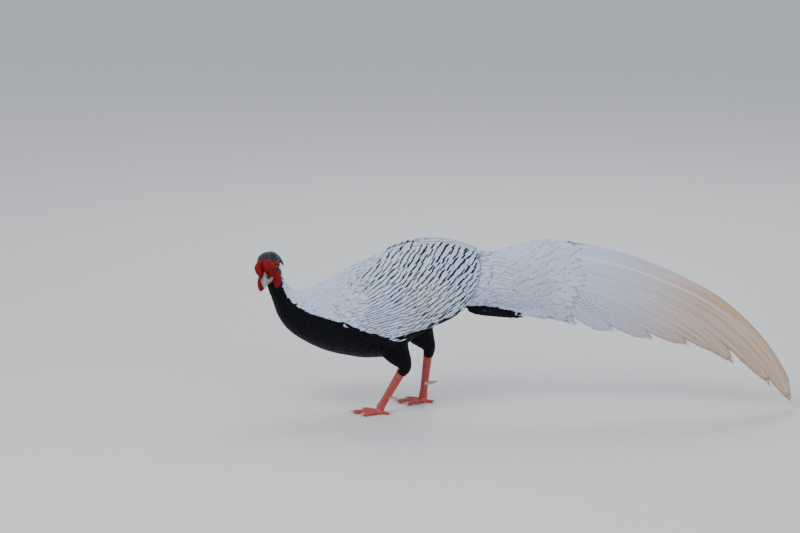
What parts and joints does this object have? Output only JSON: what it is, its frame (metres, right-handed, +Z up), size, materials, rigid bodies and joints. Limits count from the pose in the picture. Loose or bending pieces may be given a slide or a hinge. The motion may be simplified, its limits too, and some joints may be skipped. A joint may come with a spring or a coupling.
{
  "type": "silver pheasant",
  "caption": "Male silver pheasant at life size, walking with its head low and turned aside, long arched tail, white upperparts over a black underside.",
  "frame": {"origin": "middle of the model's box at floor level", "axes": "+Z up; the bird walks towards -X with its tail along +X; its left side faces -Y"},
  "size_m": [0.972, 0.1494, 0.3151],
  "materials": {
    "white_plumage": "matt white feathers",
    "black_plumage": "glossy blue-black feathers",
    "cream_tail": "matt feathers, white turning to cream",
    "red_face": "bare bright red skin",
    "horn_bill": "pale horn, satin",
    "eye_brown": "wet gloss",
    "red_leg": "scaled red skin"
  },
  "bodies": {
    "root": {"torso": "black_plumage", "neck": "white_plumage", "head": "red_face", "rump": "white_plumage", "tail": "cream_tail", "undertail": "black_plumage", "wing_left": "white_plumage", "wing_right": "white_plumage", "bill_upper": "horn_bill", "bill_lower": "horn_bill", "eye_left": "eye_brown", "wattle_left": "red_face", "eye_right": "eye_brown", "wattle_right": "red_face", "crest": "black_plumage", "thigh_left": "black_plumage", "shank_left": "red_leg", "spur_left": "red_leg", "foot_left": "red_leg", "thigh_right": "black_plumage", "shank_right": "red_leg", "spur_right": "red_leg", "foot_right": "red_leg"}
  },
  "joints": []
}
